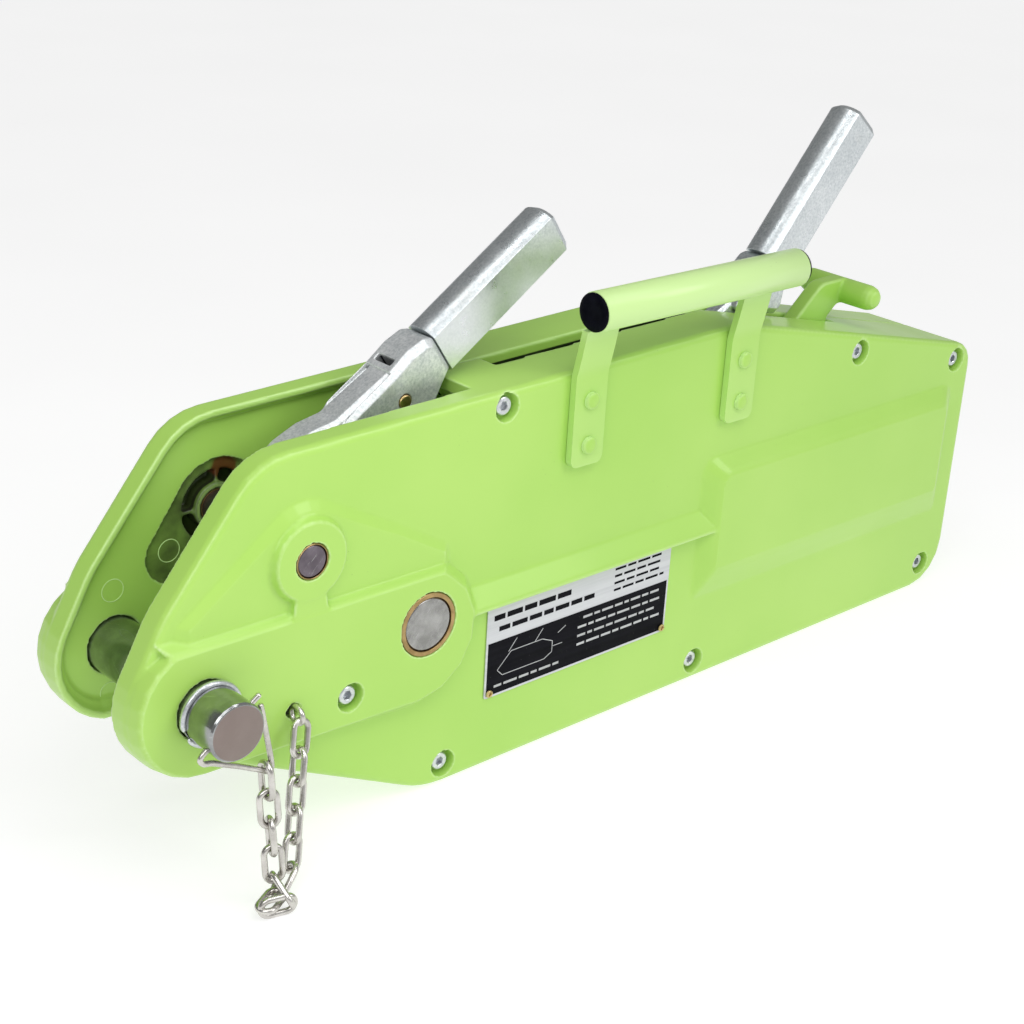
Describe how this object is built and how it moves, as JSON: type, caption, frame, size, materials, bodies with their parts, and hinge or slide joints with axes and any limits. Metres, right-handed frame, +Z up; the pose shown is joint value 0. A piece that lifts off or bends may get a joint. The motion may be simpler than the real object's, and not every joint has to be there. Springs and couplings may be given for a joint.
{
  "type": "come along winch",
  "caption": "Wire-rope pulling hoist: two-part cast casing, forward and reversing levers, release grip, anchor pin with chained clip, carrying handle.",
  "frame": {"origin": "middle of the casing's underside, on the middle plane between the two side faces", "axes": "+X along the rope line from the anchor end to the rope inlet, +Y away from the carrying handle's side, +Z up"},
  "size_m": [0.6624, 0.1501, 0.3407],
  "materials": {
    "lime_paint": "gloss lime-green paint on cast aluminium",
    "zinc": "zinc plating, lightly mottled",
    "polished_steel": "turned and polished",
    "dark_steel": "oiled dark steel",
    "bronze": "sintered bronze",
    "brass": "turned brass",
    "black_plastic": "matt black",
    "name_plate": null
  },
  "bodies": {
    "root": {"casing_screw_1": "zinc", "casing_screw_2": "zinc", "casing_screw_3": "zinc", "casing_screw_4": "zinc", "casing_screw_5": "zinc", "casing_screw_6": "zinc", "casing_screw_7": "zinc", "chain_eye": "zinc", "front_casing": "lime_paint", "handle_cap_front": "black_plastic", "handle_cap_rear": "black_plastic", "handle_rivet_front_lower": "lime_paint", "handle_rivet_front_upper": "lime_paint", "handle_rivet_rear_lower": "lime_paint", "handle_rivet_rear_upper": "lime_paint", "handle_strap_front": "lime_paint", "handle_strap_rear": "lime_paint", "handle_tube": "lime_paint", "lever_bush_front": "bronze", "lever_bush_rear": "bronze", "lever_shaft": "dark_steel", "main_bush_front": "bronze", "main_bush_rear": "bronze", "main_shaft": "polished_steel", "name_plate": "name_plate", "pin_chain": "polished_steel", "plate_rivet_left": "brass", "plate_rivet_right": "brass", "rear_casing": "lime_paint", "rope_guide": "bronze"},
    "forward_lever": {"forward_lever_bar": "zinc", "forward_lever_head": "zinc", "shear_pin": "brass", "drive_pin_front": "dark_steel", "drive_pin_rear": "dark_steel"},
    "rocker": {"rocker_hub": "dark_steel", "rocker_front": "dark_steel", "rocker_rear": "dark_steel"},
    "rear_jaw": {"rear_jaw_lower": "dark_steel", "rear_jaw_upper": "dark_steel", "rear_jaw_side_front": "dark_steel", "rear_jaw_side_rear": "dark_steel"},
    "front_jaw": {"front_jaw_lower": "dark_steel", "front_jaw_upper": "dark_steel", "front_jaw_side_front": "dark_steel", "front_jaw_side_rear": "dark_steel"},
    "reverse_lever": {"reverse_lever_bar": "zinc", "reverse_lever_head": "zinc", "reverse_shear_pin": "brass", "reverse_shaft": "dark_steel", "reverse_crank_front": "dark_steel", "reverse_crank_rear": "dark_steel"},
    "release": {"release_arm": "lime_paint"},
    "anchor_pin": {"anchor_pin": "polished_steel", "pin_snap_ring": "zinc"},
    "lock_clip": {"lock_clip": "polished_steel"}
  },
  "joints": [
    {"name": "forward_lever_swing", "type": "hinge", "parent": "root", "child": "forward_lever", "pos_m": [-0.2297, 0, 0.1662], "axis": [0, 1, 0], "range_deg": [-70, 0]},
    {"name": "rocker_swing", "type": "hinge", "parent": "root", "child": "rocker", "pos_m": [-0.1534, 0, 0.1087], "axis": [0, 1, 0], "range_deg": [0, 22.6]},
    {"name": "rear_jaw_slide", "type": "slide", "parent": "root", "child": "rear_jaw", "axis": [1, 0, 0], "range_m": [0, 0.0158]},
    {"name": "front_jaw_slide", "type": "slide", "parent": "root", "child": "front_jaw", "axis": [1, 0, 0], "range_m": [-0.0158, 0]},
    {"name": "reverse_lever_swing", "type": "hinge", "parent": "root", "child": "reverse_lever", "pos_m": [0.088, 0, 0.17], "axis": [0, 1, 0], "range_deg": [-22, 0]},
    {"name": "release_slide", "type": "slide", "parent": "root", "child": "release", "axis": [1, 0, 0], "range_m": [-0.018, 0]},
    {"name": "anchor_pin_float", "type": "slide", "parent": "root", "child": "anchor_pin", "axis": [0, 1, 0], "range_m": [0, 0.003], "deforming": ["pin_chain"]},
    {"name": "lock_clip_swing", "type": "hinge", "parent": "anchor_pin", "child": "lock_clip", "pos_m": [-0.2929, -0.07, 0.1044], "axis": [0.8271, 0, 0.5621], "range_deg": [-25, 0], "deforming": ["pin_chain"]}
  ],
  "couplings": [
    {"joint": "rocker_swing", "follows": "forward_lever_swing", "ratio": -0.322},
    {"joint": "rear_jaw_slide", "follows": "forward_lever_swing", "m_per_rad": -0.01288},
    {"joint": "front_jaw_slide", "follows": "forward_lever_swing", "m_per_rad": 0.01288}
  ]
}
